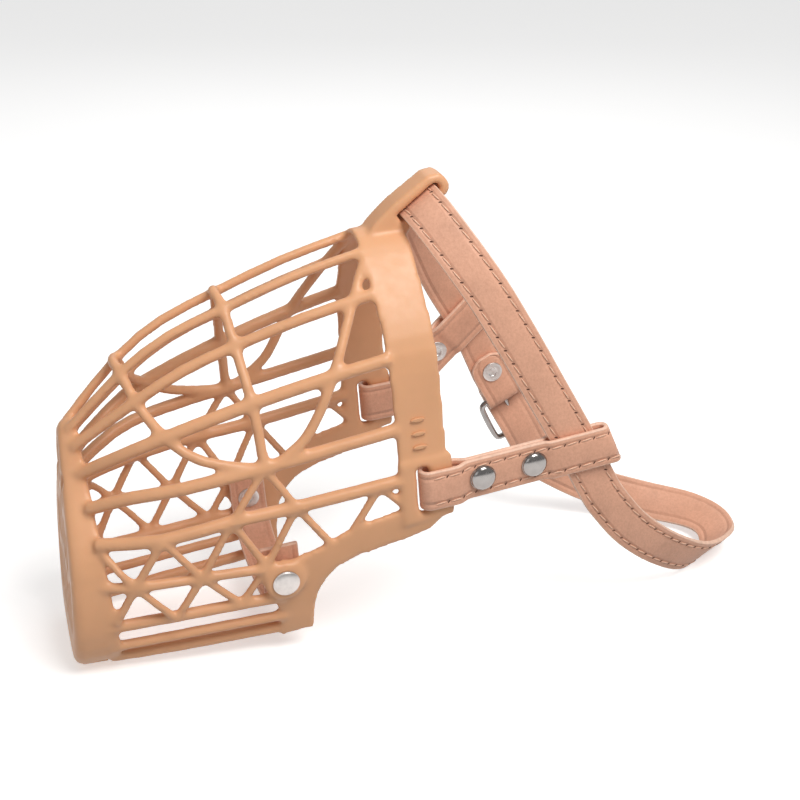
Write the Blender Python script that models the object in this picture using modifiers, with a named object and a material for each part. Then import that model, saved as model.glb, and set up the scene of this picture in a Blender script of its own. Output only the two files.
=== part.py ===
"""Dog basket muzzle: a moulded plastic cage with riveted leather straps and a prong buckle.

Every size is in millimetres in the basket's own frame, and is scaled to metres when a mesh is made.
Basket frame: +Y runs from the nose to the neck, +X to the wearer's left, +Z up, with the zero on the
middle hoop at the height of the side rib. The whole muzzle stands pitched on its nose foot and its
neck strap, which the STANCE empty does.
"""
import math

import bmesh
import bpy
from mathutils import Matrix, Vector

MM = 0.001

# Stance on the table
PITCH = math.radians(5.2)          # nose down, because the neck strap props up the rear
FOOT = Vector((0.0, -69.0, -75.5))  # centre of the foot's lower face: the origin of the part

# Basket
RIM_FRONT = 46.5
RIM_REAR = 64.5
RIM_WALL = 2.4
CAP_REAR = -59.0
CAP_WALL = 2.4
SIDE_X = 34.3                      # half width of the side wall at the middle hoop
RIVET_Y = 1.7                      # chin rivet's axis
RIVET_Z = -47.0
BAIL_SLOT = (70.6, 74.85)          # middle of the slot the head strap runs through, as y and z

# Leather
STRAP_WIDTH = 16.0
STRAP_THICK = 1.8
TAB_WIDTH = 15.6
TAB_THICK = 1.7
CHIN_WIDTH = 14.0
GAP = 0.35                         # clearance that touching pieces keep

# Rivets
CAP_RADIUS = 4.8
CAP_RISE = 2.6
POST_RADIUS = 1.9
POST_HOLE = 2.3
BACK_RADIUS = 4.2
BACK_THICK = 0.9

# Buckle, on the right-hand side: places are distances from the strap's fold, down the strap
BAR_RADIUS = 1.4
FRAME_HALF = 11.2                  # half width of the frame, to its side bars' middle
FRAME_LENGTH = 21.0
HEEL_SINK = -1.3                   # the heel bar's axis, inwards of the strap's middle line
FRONT_RISE = 2.2                   # the front bar's axis, outwards of it
PRONG_RADIUS = 0.95

BOOLEAN_MERGE = 0.0000002          # in metres: only exact doubles, so that slivers stay closed

LEFT, RIGHT = 1, -1


# ---------------------------------------------------------------- scene and materials

def clear_scene():
    for item in list(bpy.data.objects):
        bpy.data.objects.remove(item, do_unlink=True)


def new_collection(name):
    collection = bpy.data.collections.new(name)
    bpy.context.scene.collection.children.link(collection)
    return collection


def new_material(name, colour, roughness, metallic=0.0):
    material = bpy.data.materials.new(name)
    material.use_nodes = True
    shader = material.node_tree.nodes["Principled BSDF"]
    shader.inputs["Base Color"].default_value = (*colour, 1.0)
    shader.inputs["Roughness"].default_value = roughness
    shader.inputs["Metallic"].default_value = metallic
    return material


clear_scene()
PARTS = new_collection("basket_muzzle")
CUTTERS = new_collection("cutters")
STANCE = bpy.data.objects.new("stance", None)
PARTS.objects.link(STANCE)
STANCE.matrix_world = Matrix.Rotation(PITCH, 4, "X") @ Matrix.Translation(-FOOT * MM)

PLASTIC = new_material("moulded_plastic", (0.72, 0.42, 0.22), 0.45)
LEATHER = new_material("strap_leather", (0.66, 0.36, 0.26), 0.6)
NICKEL = new_material("nickel", (0.62, 0.60, 0.58), 0.22, 1.0)


def place(item, material, as_cutter=False):
    """Put an object in its collection, under the stance empty."""
    for collection in list(item.users_collection):
        collection.objects.unlink(item)
    (CUTTERS if as_cutter else PARTS).objects.link(item)
    item.parent = STANCE
    if as_cutter:
        item.hide_render = True
        item.display_type = "WIRE"
    elif material:
        item.data.materials.clear()
        item.data.materials.append(material)
    return item


# ---------------------------------------------------------------- paths

def smooth_path(points, steps=4, closed=False):
    """Catmull-Rom curve through the points, with a number of steps for each span."""
    knots = [Vector(p) for p in points]
    count = len(knots)
    spans = count if closed else count - 1
    path = []
    for i in range(spans):
        if closed:
            a, b, c, d = (knots[(i + k) % count] for k in (-1, 0, 1, 2))
        else:
            b, c = knots[i], knots[i + 1]
            a = knots[i - 1] if i else b * 2 - c
            d = knots[i + 2] if i + 2 < count else c * 2 - b
        for k in range(steps):
            t = k / steps
            path.append(0.5 * (2 * b + (c - a) * t + (2 * a - 5 * b + 4 * c - d) * t ** 2
                               + (3 * b - a - 3 * c + d) * t ** 3))
    if not closed:
        path.append(knots[-1])
    return path


def mirrored(points):
    return [(-p[0], p[1], p[2]) for p in points]


def along(path, distance):
    """Point and direction at a distance along a path."""
    for a, b in zip(path, path[1:]):
        length = (b - a).length
        if distance <= length or b is path[-1]:
            return a + (b - a) * (distance / length), (b - a).normalized()
        distance -= length
    raise ValueError("path has no length")


def mesh_object(name, build):
    """Object whose mesh a function fills in millimetres."""
    mesh = bpy.data.meshes.new(name)
    shape = bmesh.new()
    build(shape)
    bmesh.ops.scale(shape, vec=(MM, MM, MM), verts=shape.verts)
    bmesh.ops.recalc_face_normals(shape, faces=shape.faces)
    shape.to_mesh(mesh)
    shape.free()
    item = bpy.data.objects.new(name, mesh)
    bpy.context.scene.collection.objects.link(item)
    return item


def baked(item, merge=0.00001):
    """Replace an object by its evaluated mesh, with doubled points merged."""
    bpy.context.view_layer.update()
    graph = bpy.context.evaluated_depsgraph_get()
    mesh = bpy.data.meshes.new_from_object(item.evaluated_get(graph))
    shape = bmesh.new()
    shape.from_mesh(mesh)
    bmesh.ops.remove_doubles(shape, verts=shape.verts, dist=merge)
    bmesh.ops.recalc_face_normals(shape, faces=shape.faces)
    shape.to_mesh(mesh)
    shape.free()
    solid = bpy.data.objects.new(item.name, mesh)
    bpy.context.scene.collection.objects.link(solid)
    solid.matrix_world = item.matrix_world
    name = item.name
    bpy.data.objects.remove(item, do_unlink=True)
    solid.name = name
    return solid


def tube(name, path, radius, sides=2, closed=False, end_radius=None):
    """Round bar along a path, made from a bevelled curve."""
    curve = bpy.data.curves.new(name, "CURVE")
    curve.dimensions = "3D"
    curve.bevel_depth = radius * MM
    curve.bevel_resolution = sides
    curve.use_fill_caps = not closed
    spline = curve.splines.new("POLY")
    spline.points.add(len(path) - 1)
    spline.use_cyclic_u = closed
    for i, (point, where) in enumerate(zip(spline.points, path)):
        point.co = (*(Vector(where) * MM), 1.0)
        if end_radius:
            share = i / (len(path) - 1)
            point.radius = 1 + (end_radius / radius - 1) * share
    item = bpy.data.objects.new(name, curve)
    bpy.context.scene.collection.objects.link(item)
    return baked(item)


def outline_solid(name, outline, thickness, to_world, bevel=0.0):
    """Flat outline with a thickness, turned into place by a matrix in millimetres."""
    curve = bpy.data.curves.new(name, "CURVE")
    curve.dimensions = "2D"
    curve.fill_mode = "BOTH"
    curve.extrude = thickness / 2 * MM
    spline = curve.splines.new("POLY")
    spline.points.add(len(outline) - 1)
    spline.use_cyclic_u = True
    for point, (u, v) in zip(spline.points, outline):
        point.co = (u * MM, v * MM, 0.0, 1.0)
    item = bpy.data.objects.new(name, curve)
    bpy.context.scene.collection.objects.link(item)
    item = baked(item)
    if bevel:
        edge = item.modifiers.new("edge", "BEVEL")
        edge.width = bevel * MM
        edge.segments = 1
        edge.limit_method = "ANGLE"
        item = baked(item)
    placed = to_world.copy()
    placed.translation = placed.translation * MM
    item.data.transform(placed)
    return item


def ribbon(name, rows, thickness, closed=False):
    """Leather strip between two edge lines, thickened to both sides."""
    def build(shape):
        pairs = [(shape.verts.new(a), shape.verts.new(b)) for a, b in rows]
        following = pairs[1:] + pairs[:1] if closed else pairs[1:]
        for (a, b), (c, d) in zip(pairs, following):
            shape.faces.new((a, b, d, c))
    item = mesh_object(name, build)
    wall = item.modifiers.new("thickness", "SOLIDIFY")
    wall.thickness = thickness * MM
    wall.offset = 0.0
    wall.use_even_offset = True
    return baked(item)


def lofted(name, rings):
    """Closed solid through rings that all have the same number of points."""
    def build(shape):
        loops = [[shape.verts.new(p) for p in ring] for ring in rings]
        for low, high in zip(loops, loops[1:]):
            for i in range(len(low)):
                j = (i + 1) % len(low)
                shape.faces.new((low[i], low[j], high[j], high[i]))
        shape.faces.new(loops[0])
        shape.faces.new(loops[-1])
    return mesh_object(name, build)


def cylinder(name, radius, length, centre, axis, sides=20, end_radius=None):
    def build(shape):
        turn = Vector(axis).to_track_quat("Z", "Y").to_matrix().to_4x4()
        bmesh.ops.create_cone(shape, cap_ends=True, segments=sides, radius1=radius,
                              radius2=radius if end_radius is None else end_radius, depth=length,
                              matrix=Matrix.Translation(centre) @ turn)
    return mesh_object(name, build)


def block(name, size, centre, turn=Matrix.Identity(4)):
    def build(shape):
        bmesh.ops.create_cube(shape, size=1.0,
                              matrix=Matrix.Translation(centre) @ turn @ Matrix.Diagonal((*size, 1.0)))
    return mesh_object(name, build)


def combined(item, others, operation):
    """Boolean of one object with several, applied."""
    holder = bpy.data.collections.new(item.name + "_set")
    bpy.context.scene.collection.children.link(holder)
    for other in others:
        for collection in list(other.users_collection):
            collection.objects.unlink(other)
        holder.objects.link(other)
    cut = item.modifiers.new("boolean", "BOOLEAN")
    cut.operation = operation
    cut.operand_type = "COLLECTION"
    cut.collection = holder
    cut.solver = "EXACT"
    result = baked(item, BOOLEAN_MERGE)
    for other in others:
        bpy.data.objects.remove(other, do_unlink=True)
    bpy.data.collections.remove(holder)
    return result


# ---------------------------------------------------------------- basket

def side_x(y, z):
    """Half width of the basket's side wall at a place on it."""
    low = max(0.0, -z - 20.0)
    return SIDE_X + 0.062 * max(0.0, y) - 0.0022 * low ** 2


# Ribs of the left side, from the nose cap to the rim
RIBS = {
    "crown": (1.9, [(3.7, -62.1, 14.0), (6.5, -41, 32.9), (7.5, -23.4, 43.5), (8.3, -3, 50.1),
                    (8.8, 21.8, 57.4), (9.4, 47.5, 62.3)]),
    "brow": (2.25, [(6.6, -61.6, 8.6), (13, -39.3, 23.6), (15.4, -21, 33.2), (16.3, -2.4, 39.0),
                    (18.2, 21.7, 45.3), (20.4, 47.5, 50.4)]),
    "upper": (2.6, [(9.6, -61.2, -0.8), (18.6, -46, 7.7), (24.2, -31.1, 14), (28.4, -1, 22.1),
                    (31.7, 27.3, 28), (33.4, 47.5, 31.2)]),
    "side": (2.6, [(17.2, -61.0, -11.0), (26.1, -45.7, -5.3), (31.7, -29.1, -2.9), (34, -0.3, -0.1),
                   (34.9, 23.5, 2.2), (35.9, 47.5, 4.8)]),
    "lower": (2.6, [(25.0, -61.0, -21.2), (33.1, -38.7, -20.4), (34.2, -13.5, -18.3),
                    (34.9, 8.9, -17.8), (37.2, 47.5, -15.0)]),
    "cheek": (2.1, [(28.6, -61.4, -36.8), (32.4, -48.3, -37.5), (33, -26.4, -39), (34, -5.4, -40.6)]),
    "rail": (2.4, [(28.0, -61.8, -54.3), (29.6, -38, -54.7), (31.4, -14.7, -54.8), (32.4, 1.0, -55.1)]),
    "hem": (2.1, [(25.6, -62.5, -64.2), (27.4, -38, -64.4), (29.2, -14, -64.5), (30.4, 1.0, -64.6)]),
    "floor": (2.4, [(20.6, -63.0, -71.4), (23.6, -38, -71.7), (25.6, -14, -71.8), (27.0, 1.5, -71.8)]),
}

# Hoops that cross the ribs, as half arches from the ridge to the side
HOOPS = {
    "front_hoop": (2.05, [(0, -42.8, 34.6), (6.4, -41.4, 33.0), (12.6, -37.7, 22.6), (23.3, -31.4, 13.8),
                          (29.8, -20.7, 5.2), (34, -0.3, -0.1), (34.6, 9.7, 4.2), (34.0, 17.5, 11),
                          (31.9, 27.3, 27.8), (19.9, 39.4, 48.3), (11.2, 47.5, 60.8)]),
    "middle_hoop": (2.05, [(0, -4.9, 53.8), (8.3, -3.5, 50.2), (16.4, -2.4, 39), (28.4, -0.9, 22),
                           (34, -0.3, -0.1)]),
}

# Lattice of the lower side: each strut runs through places on the side wall, given as y and z
LATTICE = [
    (1.76, [(-0.3, -0.1), (-14.5, -18.9), (-27.5, -39.0), (-38.5, -54.7)]),
    (1.70, [(8.9, -17.9), (-4.0, -40.2), (-14.9, -54.9)]),
    (1.80, [(-38.9, -20.2), (-50.5, -37.5), (-59.2, -52.0)]),
    (1.73, [(-0.5, -0.4), (9.1, -18.2), (19.0, -34.5)]),
    (1.78, [(-14.2, -18.6), (-4.2, -40.0)]),
    (1.72, [(-38.5, -20.7), (-27.4, -38.7), (-14.6, -54.6)]),
    (1.68, [(-59.0, -24.5), (-50.2, -37.8), (-38.2, -54.5)]),
    (1.75, [(28.5, -31.5), (38.8, -16.3)]),
    (1.71, [(39.2, -16.0), (48.5, -27.0)]),
]

RIM_ARCH = [(0, 65.9), (5.2, 64.9), (9.6, 62.4), (15.2, 57.4), (20.6, 50.7), (27.6, 41.6), (33.2, 31.2),
            (35.2, 18.0), (36.2, 4.8), (37.0, -6.0), (37.4, -15.0), (37.4, -30.0)]

CAP_OUTLINE = [(0, 17.0), (3.6, 15.6), (7.2, 9.0), (10.4, -0.4), (16.9, -10.6), (24.4, -20.8),
               (29.0, -31.0), (30.4, -43.0), (29.8, -56.0), (26.4, -66.5), (20.4, -72.6), (10.0, -74.6),
               (0, -75.0)]


CAP_INNER = [(0, 12.0), (2.2, 11.2), (4.7, 6.6), (7.8, -1.6), (14.2, -12.0), (21.8, -22.4),
             (26.4, -32.0), (27.9, -43.2), (27.3, -55.4), (24.3, -64.4), (19.0, -70.0), (9.0, -72.0),
             (0, -72.4)]
CAP_MIDDLE = -32.0


def cap_front(z):
    """The nose plate leans forward towards its foot."""
    return -67.6 - 0.125 * (0.0 - z)


def full_outline(half, scale=1.0, steps=2):
    """Closed outline from its left half, top to bottom, scaled about the cap's middle."""
    left = smooth_path([(x, z, 0.0) for x, z in half], steps)
    loop = [(p.x, p.y) for p in left] + [(-p.x, p.y) for p in reversed(left[1:-1])]
    return [(x * scale, CAP_MIDDLE + (z - CAP_MIDDLE) * scale) for x, z in loop]


def nose_cap():
    """Domed cup with rows of breathing slots, open to the rear."""
    def ring(half, scale, y_of):
        return [(x, y_of(z), z) for x, z in full_outline(half, scale)]

    outer = lofted("nose_cap", [
        ring(CAP_OUTLINE, 1.0, lambda z: CAP_REAR), ring(CAP_OUTLINE, 0.995, lambda z: cap_front(z) + 3.4),
        ring(CAP_OUTLINE, 0.97, lambda z: cap_front(z) + 1.1), ring(CAP_OUTLINE, 0.92, cap_front)])
    inner = lofted("nose_cap_inner", [
        ring(CAP_INNER, 1.0, lambda z: CAP_REAR + 3.0), ring(CAP_INNER, 0.99, lambda z: cap_front(z) + 4.6),
        ring(CAP_INNER, 0.94, lambda z: cap_front(z) + CAP_WALL)])
    cutters = [inner]
    for x, low, high in NOSE_SLOTS:
        for side in ((LEFT, RIGHT) if x else (LEFT,)):
            outline = slot_outline(3.4, high - low)
            stand = Matrix.Rotation(math.radians(90), 4, "X")
            stand.translation = Vector((side * x, -76.0, (low + high) / 2))
            cutters.append(outline_solid("nose_slot", outline, 26.0, stand))
    return combined(outer, cutters, "DIFFERENCE")


# Breathing slots of the nose plate: distance from the middle, lower end, upper end
NOSE_SLOTS = [(0.0, -6.5, 9.0), (0.0, -32.5, -11.0), (0.0, -62.0, -37.0),
              (7.6, -13.5, -1.0), (7.6, -34.5, -18.0), (7.6, -61.0, -39.0),
              (14.8, -36.0, -20.5), (14.8, -59.5, -40.5), (21.6, -57.0, -36.0)]


def slot_outline(width, height, steps=5):
    """Upright slot with round ends."""
    radius = width / 2
    points = []
    for end, start in ((1, 0.0), (-1, math.pi)):
        for k in range(steps + 1):
            turn = start + math.pi * k / steps
            points.append((radius * math.cos(turn), end * (height / 2 - radius) + radius * math.sin(turn)))
    return points


def rim_band():
    """Flat band around the head opening, as an arch that is open at the bottom."""
    left = smooth_path([(x, z, 0.0) for x, z in RIM_ARCH], 2)
    arch = [Vector((-p.x, 0, p.y)) for p in reversed(left[1:])] + [Vector((p.x, 0, p.y)) for p in left]
    rows = [(p + Vector((0, RIM_FRONT, 0)), p + Vector((0, RIM_REAR, 0))) for p in arch]
    return ribbon("rim_band", rows, RIM_WALL)


# Throat plate: pairs of places on its upper and lower edge, from the chin post up to the rim
THROAT = [((-1.0, -74.2), (11.4, -73.2)), ((-1.2, -66.0), (11.9, -66.0)), ((-1.6, -59.0), (12.8, -59.2)),
          ((-4.5, -53.0), (14.8, -54.2)), ((-6.0, -47.0), (18.2, -49.4)), ((-3.0, -42.0), (21.5, -46.4)),
          ((6.0, -39.6), (25.4, -44.4)), ((17.5, -36.0), (31.0, -42.6)), ((24.0, -32.6), (37.0, -41.6)),
          ((33.0, -29.8), (45.0, -40.2)), ((46.5, -27.5), (56.0, -37.6)), ((46.5, -22.0), (62.0, -32.6)),
          ((46.5, -18.0), (64.2, -24.0))]
THROAT_THICK = 2.8


def throat_plate(side):
    """Side plate that runs from the rim down and forward to the chin post."""
    def build(shape):
        rows = []
        for (y0, z0), (y1, z1) in THROAT:
            row = []
            for share in (0.0, 0.5, 1.0):
                y, z = y0 + (y1 - y0) * share, z0 + (z1 - z0) * share
                row.append(shape.verts.new((side * side_x(y, z), y, z)))
            rows.append(row)
        for low, high in zip(rows, rows[1:]):
            for i in (0, 1):
                shape.faces.new((low[i], low[i + 1], high[i + 1], high[i]))
    item = mesh_object("throat_plate", build)
    wall = item.modifiers.new("thickness", "SOLIDIFY")
    wall.thickness = THROAT_THICK * MM
    wall.offset = 0.0
    return baked(item)


def side_frame(side):
    """Raised frame around the slot that holds the side tab."""
    outline = [(46.0, -34.2), (66.2, -32.6), (66.2, -7.4), (46.0, -7.4)]
    stand = Matrix(((0, 0, 1, side * 37.7), (1, 0, 0, 0), (0, 1, 0, 0), (0, 0, 0, 1)))
    return outline_solid("side_frame", outline, 3.4, stand, 0.8)


def crown_bail():
    """Closed loop above the rim that the head strap runs through."""
    lean = math.radians(34.0)
    stand = Matrix(((0, 0, 1, 0), (math.cos(lean), -math.sin(lean), 0, BAIL_SLOT[0]),
                    (math.sin(lean), math.cos(lean), 0, BAIL_SLOT[1]), (0, 0, 0, 1)))
    outer = [(-24.0, 3.0), (-18.0, 4.8), (-12.5, 5.5), (-7.0, 5.8), (8.3, 5.2), (11.6, 3.2), (12.6, 0.5),
             (12.2, -2.6), (10.0, -4.9), (6.0, -4.4), (-5.0, -4.6), (-10.5, -6.4)]
    inner = [(-9.2, -1.8), (9.2, -1.8), (9.2, 1.8), (-9.2, 1.8)]
    loop = outline_solid("crown_bail", outer, 11.0, stand, 0.6)
    hole = outline_solid("crown_slot", inner, 30.0, stand)
    return loop, hole


def basket_cage():
    pieces = [nose_cap(), throat_plate(LEFT), throat_plate(RIGHT), side_frame(LEFT), side_frame(RIGHT)]
    for name, (radius, points) in RIBS.items():
        for route in (points, mirrored(points)):
            pieces.append(tube("rib_" + name, smooth_path(route, 2), radius, 2))
    for name, (radius, points) in HOOPS.items():
        half = smooth_path(points, 3)
        whole = [Vector((-p.x, p.y, p.z)) for p in reversed(half[1:])] + half
        pieces.append(tube(name, whole, radius, 2))
    for radius, places in LATTICE:
        for side in (LEFT, RIGHT):
            route = []
            for (y0, z0), (y1, z1) in zip(places, places[1:]):
                middle = ((y0 + y1) / 2, (z0 + z1) / 2)
                route += [(y0, z0), middle]
            route.append(places[-1])
            pieces.append(tube("strut", [Vector((side * cap_or_side(y, z), y, z)) for y, z in route], radius, 1))
    for side in (LEFT, RIGHT):
        pieces.append(cylinder("chin_lug", 7.6, 4.6, (side * 34.0, RIVET_Y, RIVET_Z), (1, 0, 0), 20))
    pieces.append(tube("chin_bar", [Vector((x, 5.0, -70.6)) for x in (-28.5, 0, 28.5)], 2.3, 2))
    foot_turn = Matrix.Rotation(-PITCH, 4, "X")
    pieces.append(block("foot", (34.0, 10.0, 4.0), FOOT + foot_turn @ Vector((0, 0, 2.0)), foot_turn))
    bail, crown_slot = crown_bail()
    pieces.append(bail)
    cage = combined(rim_band(), pieces, "UNION")
    cuts = [crown_slot]
    for side in (LEFT, RIGHT):
        cuts.append(block("tab_slot", (30.0, 4.6, 18.6), (side * 37.0, 54.9, -20.0)))
        cuts.append(cylinder("rivet_hole", POST_HOLE, 20.0, (side * 34.0, RIVET_Y, RIVET_Z), (1, 0, 0)))
    cage = combined(cage, cuts, "DIFFERENCE")
    cage.name = "basket_cage"
    return place(cage, PLASTIC)


def cap_or_side(y, z):
    """Half width of the lattice, which draws in to the cap's edge near the nose."""
    wall = side_x(y, z)
    share = max(0.0, min(1.0, (-38.0 - y) / 22.0))
    return wall - share ** 2 * (wall - (29.6 if z < -30 else 26.0))


# ---------------------------------------------------------------- straps

LEFT_ROUTE = [(0, 70.6, 75.0), (4, 70.6, 74.95), (8.6, 71.0, 74.1), (14, 72.8, 70.9), (20, 76.4, 64.2),
              (26, 81.0, 55.6), (30.5, 86.7, 44.6), (34.5, 95.2, 26.4), (36.7, 103.0, 9.2),
              (37.7, 109.8, -5.4), (37.8, 115.2, -17.0), (37.8, 119.6, -27.6), (37.8, 121.9, -33.0)]
RIGHT_ROUTE = [(0, 70.6, 75.0), (-4, 70.6, 74.95), (-8.6, 71.0, 74.1), (-14, 72.4, 70.9), (-20, 75.4, 63.9),
               (-26, 78.8, 55.4), (-31.0, 83.2, 44.6), (-36.0, 90.3, 27.6), (-38.0, 97.7, 12.8),
               (-37.9, 101.5, 5.0), (-37.9, 104.2, -2.0), (-37.9, 106.9, -9.6), (-37.9, 109.7, -17.4),
               (-37.9, 113.3, -26.0), (-37.9, 117.7, -36.4), (-37.9, 122.7, -47.8), (-37.9, 126.7, -56.6)]
NECK_ROUTE = [(37.8, 122.2, -33.6), (37.8, 127.0, -43.2), (36.5, 138.4, -59.4), (32, 155, -75.6),
              (24, 173.0, -88.4), (12, 189.5, -92.1), (0, 194.0, -91.8), (-12, 189.0, -91.0),
              (-24, 173.6, -88.6), (-31.8, 156.8, -82.8), (-36.2, 143.0, -75.0)]
HEEL = 11                          # knot of the right-hand route near the fold round the heel bar
STEPS = 4


def crown_lean(z):
    """Angle of a strap's width above the horizontal, steeper over the crown."""
    return math.radians(27.0 + 7.0 * max(0.0, min(1.0, z / 76.0)))


def frame_at(here, run):
    """Width direction and outward direction of a strap at a point with a run."""
    lean = crown_lean(here.z)
    wide = Vector((0, math.cos(lean), math.sin(lean)))
    wide = (wide - run * wide.dot(run)).normalized()
    out = wide.cross(run).normalized()
    if out.dot(Vector((here.x, (here.y - 100.0) * 0.3, abs(here.z) * (0.3 if here.z > 0 else -0.3)))) < 0:
        out = -out
    return wide, out


def strap_rows(path, half=STRAP_WIDTH / 2):
    rows = []
    for i, here in enumerate(path):
        run = (path[min(i + 1, len(path) - 1)] - path[max(i - 1, 0)]).normalized()
        wide, out = frame_at(here, run)
        rows.append((here - wide * half, here + wide * half))
    return rows


RIGHT_PATH = smooth_path(RIGHT_ROUTE, STEPS)
FOLD = sum((b - a).length for a, b in zip(RIGHT_PATH[:HEEL * STEPS], RIGHT_PATH[1:])) + 20.5


def on_right(beyond, rise=0.0, across=0.0):
    """Point on the right-hand side of the strap, by distance beyond the fold, rise and offset."""
    here, run = along(RIGHT_PATH, FOLD + beyond)
    wide, out = frame_at(here, run)
    return here + out * rise + wide * across


def right_matrix(beyond):
    """Axes across, along and out of the strap on the right-hand side."""
    here, run = along(RIGHT_PATH, FOLD + beyond)
    wide, out = frame_at(here, run)
    return Matrix((wide, run, out)).transposed().to_4x4()


def station_rows(stations):
    """Edge rows for stations given as distance beyond the fold, rise and half width."""
    return [(on_right(at, rise, -half), on_right(at, rise, half)) for at, rise, half in stations]


FLAP_RIVET = -12.4


def crown_strap():
    """From below the left tab, over the crown, to the fold round the heel bar and its riveted flap."""
    left = smooth_path(LEFT_ROUTE, STEPS)
    rows = list(reversed(strap_rows(left)))
    upper = [p for p in RIGHT_PATH[1:(HEEL - 1) * STEPS]]
    rows += strap_rows([RIGHT_PATH[0]] + upper)[1:]
    half = STRAP_WIDTH / 2
    bend = BAR_RADIUS + GAP + STRAP_THICK / 2
    fold = [(-19.5, 0.0, half), (FLAP_RIVET, 0.0, half), (-7.2, 0.0, half),
            (-3.4, HEEL_SINK + bend - 0.1, half), (0.0, HEEL_SINK + bend, half)]
    for k in range(1, 8):
        turn = math.pi * k / 8
        fold.append((bend * math.sin(turn), HEEL_SINK + bend * math.cos(turn), half))
    flap = -STRAP_THICK - GAP
    fold += [(0.0, HEEL_SINK - bend, half), (-3.4, HEEL_SINK - bend + 0.1, half), (-7.2, flap, half),
             (FLAP_RIVET, flap, half), (-15.6, flap, half), (-17.6, flap, half - 1.2),
             (-19.2, flap, half - 3.4), (-20.0, flap, 1.8)]
    rows += station_rows(fold)
    item = ribbon("crown_strap", rows, STRAP_THICK)
    slot = block("prong_slot", (4.4, 9.6, 14.0), on_right(-0.6, HEEL_SINK), right_matrix(0.0))
    hole = cylinder("flap_hole", POST_HOLE, 14.0, on_right(FLAP_RIVET), right_matrix(FLAP_RIVET).col[2].to_3d())
    return place(combined(item, [slot, hole], "DIFFERENCE"), LEATHER)


def strap_billet():
    """Punched, pointed end that comes up through the buckle and lies on the outside of the fold."""
    half = STRAP_WIDTH / 2
    low = FRONT_RISE - BAR_RADIUS - GAP - STRAP_THICK / 2
    over = HEEL_SINK + BAR_RADIUS + GAP + 1.5 * STRAP_THICK + GAP + 0.1
    flat = STRAP_THICK + GAP
    stations = [(BILLET_LOW, 0.0, half), (27.0, 0.0, half), (23.5, low, half), (FRAME_LENGTH, low, half),
                (17.5, low + 0.1, half), (13.5, low + 0.9, half), (9.5, low + 2.2, half),
                (5.5, over - 0.4, half), (1.5, over, half), (-3.0, over, half), (-5.0, over - 0.2, half - 1.0),
                (-7.2, over - 0.3, half - 3.2), (-8.4, over - 0.4, 1.8)]
    item = ribbon("strap_billet", station_rows(stations), STRAP_THICK)
    cuts = [block("prong_hole", (3.4, 9.5, 12.0), on_right(10.0, 1.5), right_matrix(10.0))]
    for at in PUNCHED:
        cuts.append(cylinder("punch", 1.4, 12.0, on_right(at), right_matrix(at).col[2].to_3d(), 12))
    return place(combined(item, cuts, "DIFFERENCE"), LEATHER)


PUNCHED = [27.0]
BILLET_LOW = 31.4


def neck_strap():
    """Loop round behind the neck."""
    path = smooth_path(NECK_ROUTE + [on_right(40.0), on_right(BILLET_LOW + GAP + 0.3)], 5)
    rows = []
    for i, here in enumerate(path):
        run = (path[min(i + 1, len(path) - 1)] - path[max(i - 1, 0)]).normalized()
        lean = NECK_LEAN
        wide = Vector((0, math.cos(lean), math.sin(lean)))
        wide = (wide - run * wide.dot(run)).normalized()
        rows.append((here - wide * STRAP_WIDTH / 2, here + wide * STRAP_WIDTH / 2))
    return place(ribbon("neck_strap", rows, STRAP_THICK), LEATHER)


NECK_LEAN = math.radians(27.0)


# ---------------------------------------------------------------- side tabs and rivets

TAB_X = 37.8
HINGE = Vector((TAB_X, 61.0, -20.0))
TAB_RIVETS = {LEFT: {"front": 16.0, "rear": 36.0}, RIGHT: {"front": 16.0, "rear": 31.5}}   # behind the hinge
TAB_TILT = {LEFT: math.radians(2.1), RIGHT: math.radians(40.0)}
TAB_LOOP = {LEFT: (65.6, 5.0), RIGHT: (59.5, 0.0)}    # middle of the rear fold, and its slant


def on_tab(side, back, rise, x_off):
    """Point of a side tab by distance behind the hinge, height on the tab and sideways offset."""
    share = max(0.0, min(1.0, (back - 5.5) / 12.0))
    tilt = TAB_TILT[side] * share * share * (3 - 2 * share)
    middle_tilt = TAB_TILT[side]
    lead = min(back, 6.0) if back > 0 else back
    rest = max(0.0, back - 6.0)
    y = HINGE.y + lead + rest * math.cos(middle_tilt) - rise * math.sin(tilt)
    z = HINGE.z + rest * math.sin(middle_tilt) + rise * math.cos(tilt)
    return Vector((side * (TAB_X + x_off), y, z))


def side_tab(side, name):
    """Leather loop, round the slot's rear bar in front and round the strap behind."""
    fold, slant = TAB_LOOP[side]
    rear = TAB_RIVETS[side]["rear"]
    front, pressed, loop = 3.05, 1.0, 2.3
    outer = [(-3.8, front, 0), (0.0, front, 0), (6.2, front - 0.1, 0), (8.2, 2.2, 0), (10.0, 1.15, 0),
             (11.0, pressed, 0), (16.0, pressed, 0), (25.0, pressed, 0), (rear, pressed, 0),
             (rear + 5.0, pressed, 0), (rear + 6.4, loop, 0.1), (rear + 11.0, loop, 0.5),
             (rear + 17.0, loop, 0.8), (fold, loop, 1)]
    stations = list(outer)
    for k in range(1, 6):
        turn = math.pi * k / 6
        stations.append((fold + loop * math.sin(turn), loop * math.cos(turn), 1))
    stations += [(a, -x, k) for a, x, k in reversed(outer)]
    for k in range(1, 6):
        turn = math.pi * k / 6
        stations.append((-3.8 - front * math.sin(turn), -front * math.cos(turn), 0))
    rows = [(on_tab(side, a + slant / 2 * k, -TAB_WIDTH / 2, x), on_tab(side, a - slant / 2 * k, TAB_WIDTH / 2, x))
            for a, x, k in stations]
    item = ribbon(name, rows, TAB_THICK, closed=True)
    holes = [cylinder("post_hole", POST_HOLE, 16.0, on_tab(side, at, 0, 0), (1, 0, 0))
             for at in TAB_RIVETS[side].values()]
    return place(combined(item, holes, "DIFFERENCE"), LEATHER)


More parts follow.
